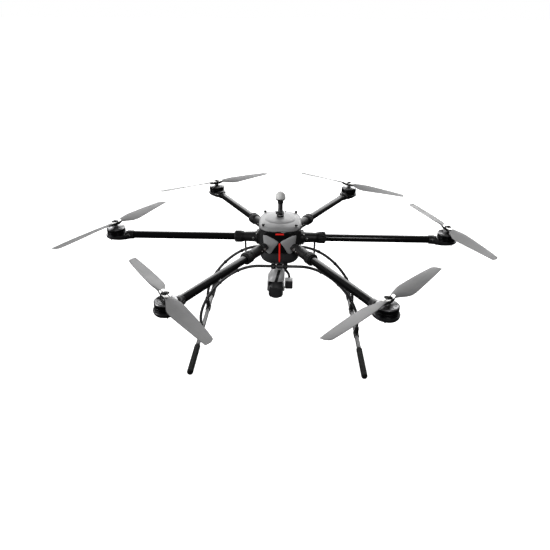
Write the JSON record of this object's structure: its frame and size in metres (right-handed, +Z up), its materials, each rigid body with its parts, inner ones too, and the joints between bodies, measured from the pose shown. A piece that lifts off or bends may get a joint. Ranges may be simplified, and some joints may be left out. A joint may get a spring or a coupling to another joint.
{
  "type": "hexacopter camera drone",
  "caption": "Six-arm multirotor with plug-in arms, locking collars, two-blade propellers, arched skid landing gear, folding satellite mast and a stabilised camera turret under the hub.",
  "frame": {"origin": "on the ground at the middle of the overall box, 26.4 mm and 29.4 mm short of the hub axis in X and Y", "axes": "+Z up; the nose and the camera point along -Y; +X to the right of someone who faces the nose"},
  "size_m": [1.6064, 1.6248, 0.6123],
  "materials": {
    "carbon_tube": "gloss woven carbon, clear coated",
    "black_plastic": "moulded black nylon",
    "collar_black": "ribbed matte black",
    "canopy_grey": "satin light grey",
    "panel_grey": "satin mid grey with gloss black visor",
    "belly_grey": "satin dark grey",
    "blade_grey": "satin grey composite",
    "bell_metal": "anodised, turned top",
    "grip_foam": "ribbed foam rubber",
    "gear_tube": "carbon tube, satin",
    "dome_white": "satin off-white",
    "turret_grey": "satin light grey",
    "charcoal": "charcoal moulding",
    "window_glass": "dark flat window",
    "battery_wrap": "shrink wrapped cells",
    "electronics": "anodised box"
  },
  "bodies": {
    "airframe": {"hub_frame": "black_plastic", "canopy": "canopy_grey", "front_fairing": "panel_grey", "belly_shell": "belly_grey", "battery_pack": "battery_wrap", "flight_controller": "electronics", "landing_arch_front": "gear_tube", "landing_arch_rear": "gear_tube", "skid_left": "gear_tube", "skid_right": "gear_tube", "grip_front_left": "grip_foam", "grip_front_right": "grip_foam", "grip_rear_left": "grip_foam", "grip_rear_right": "grip_foam", "antenna_left": "carbon_tube", "antenna_right": "carbon_tube", "mast_base": "black_plastic", "gimbal_mount": "black_plastic", "socket_right": "black_plastic", "socket_rear_right": "black_plastic", "socket_rear_left": "black_plastic", "socket_left": "black_plastic", "socket_front_left": "black_plastic", "socket_front_right": "black_plastic"},
    "arm_right": {"arm_tube_right": "carbon_tube", "motor_mount_right": "black_plastic"},
    "collar_right": {"lock_collar_right": "collar_black"},
    "rotor_right": {"motor_bell_right": "bell_metal", "propeller_right": "blade_grey"},
    "arm_rear_right": {"arm_tube_rear_right": "carbon_tube", "motor_mount_rear_right": "black_plastic"},
    "collar_rear_right": {"lock_collar_rear_right": "collar_black"},
    "rotor_rear_right": {"motor_bell_rear_right": "bell_metal", "propeller_rear_right": "blade_grey"},
    "arm_rear_left": {"arm_tube_rear_left": "carbon_tube", "motor_mount_rear_left": "black_plastic"},
    "collar_rear_left": {"lock_collar_rear_left": "collar_black"},
    "rotor_rear_left": {"motor_bell_rear_left": "bell_metal", "propeller_rear_left": "blade_grey"},
    "arm_left": {"arm_tube_left": "carbon_tube", "motor_mount_left": "black_plastic"},
    "collar_left": {"lock_collar_left": "collar_black"},
    "rotor_left": {"motor_bell_left": "bell_metal", "propeller_left": "blade_grey"},
    "arm_front_left": {"arm_tube_front_left": "carbon_tube", "motor_mount_front_left": "black_plastic"},
    "collar_front_left": {"lock_collar_front_left": "collar_black"},
    "rotor_front_left": {"motor_bell_front_left": "bell_metal", "propeller_front_left": "blade_grey"},
    "arm_front_right": {"arm_tube_front_right": "carbon_tube", "motor_mount_front_right": "black_plastic"},
    "collar_front_right": {"lock_collar_front_right": "collar_black"},
    "rotor_front_right": {"motor_bell_front_right": "bell_metal", "propeller_front_right": "blade_grey"},
    "mast": {"gps_mast": "black_plastic", "gps_dome": "dome_white"},
    "turret": {"gimbal_yoke": "turret_grey", "tilt_drive": "turret_grey"},
    "camera": {"camera_body": "charcoal", "camera_window": "window_glass"}
  },
  "joints": [
    {"name": "plug_right", "type": "slide", "parent": "airframe", "child": "arm_right", "axis": [1, 0, 0], "range_m": [0, 0.05]},
    {"name": "lock_right", "type": "hinge", "parent": "arm_right", "child": "collar_right", "pos_m": [0.2245, 0.0301, 0.4175], "axis": [1, 0, 0], "range_deg": [0, 60]},
    {"name": "spin_right", "type": "hinge", "parent": "arm_right", "child": "rotor_right", "pos_m": [0.6995, 0.0301, 0.45], "axis": [0, 0, 1], "continuous": true},
    {"name": "plug_rear_right", "type": "slide", "parent": "airframe", "child": "arm_rear_right", "axis": [0.5, 0.866, 0], "range_m": [0, 0.05]},
    {"name": "lock_rear_right", "type": "hinge", "parent": "arm_rear_right", "child": "collar_rear_right", "pos_m": [0.1245, 0.20331, 0.4175], "axis": [0.5, 0.866, 0], "range_deg": [0, 60]},
    {"name": "spin_rear_right", "type": "hinge", "parent": "arm_rear_right", "child": "rotor_rear_right", "pos_m": [0.362, 0.61467, 0.45], "axis": [0, 0, 1], "continuous": true},
    {"name": "plug_rear_left", "type": "slide", "parent": "airframe", "child": "arm_rear_left", "axis": [-0.5, 0.866, 0], "range_m": [0, 0.05]},
    {"name": "lock_rear_left", "type": "hinge", "parent": "arm_rear_left", "child": "collar_rear_left", "pos_m": [-0.0755, 0.20331, 0.4175], "axis": [-0.5, 0.866, 0], "range_deg": [0, 60]},
    {"name": "spin_rear_left", "type": "hinge", "parent": "arm_rear_left", "child": "rotor_rear_left", "pos_m": [-0.313, 0.61467, 0.45], "axis": [0, 0, 1], "continuous": true},
    {"name": "plug_left", "type": "slide", "parent": "airframe", "child": "arm_left", "axis": [-1, 0, 0], "range_m": [0, 0.05]},
    {"name": "lock_left", "type": "hinge", "parent": "arm_left", "child": "collar_left", "pos_m": [-0.1755, 0.0301, 0.4175], "axis": [-1, 0, 0], "range_deg": [0, 60]},
    {"name": "spin_left", "type": "hinge", "parent": "arm_left", "child": "rotor_left", "pos_m": [-0.6505, 0.0301, 0.45], "axis": [0, 0, 1], "continuous": true},
    {"name": "plug_front_left", "type": "slide", "parent": "airframe", "child": "arm_front_left", "axis": [-0.5, -0.866, 0], "range_m": [0, 0.05]},
    {"name": "lock_front_left", "type": "hinge", "parent": "arm_front_left", "child": "collar_front_left", "pos_m": [-0.0755, -0.14311, 0.4175], "axis": [-0.5, -0.866, 0], "range_deg": [0, 60]},
    {"name": "spin_front_left", "type": "hinge", "parent": "arm_front_left", "child": "rotor_front_left", "pos_m": [-0.313, -0.55447, 0.45], "axis": [0, 0, 1], "continuous": true},
    {"name": "plug_front_right", "type": "slide", "parent": "airframe", "child": "arm_front_right", "axis": [0.5, -0.866, 0], "range_m": [0, 0.05]},
    {"name": "lock_front_right", "type": "hinge", "parent": "arm_front_right", "child": "collar_front_right", "pos_m": [0.1245, -0.14311, 0.4175], "axis": [0.5, -0.866, 0], "range_deg": [0, 60]},
    {"name": "spin_front_right", "type": "hinge", "parent": "arm_front_right", "child": "rotor_front_right", "pos_m": [0.362, -0.55447, 0.45], "axis": [0, 0, 1], "continuous": true},
    {"name": "mast_fold", "type": "hinge", "parent": "airframe", "child": "mast", "pos_m": [0.0245, 0.0301, 0.521], "axis": [-1, 0, 0], "range_deg": [0, 85]},
    {"name": "turret_yaw", "type": "hinge", "parent": "airframe", "child": "turret", "pos_m": [0.0245, 0.0051, 0.3], "axis": [0, 0, 1], "range_deg": [-160, 160]},
    {"name": "camera_tilt", "type": "hinge", "parent": "turret", "child": "camera", "pos_m": [0.0105, -0.0299, 0.21], "axis": [1, 0, 0], "range_deg": [-30, 90]}
  ]
}
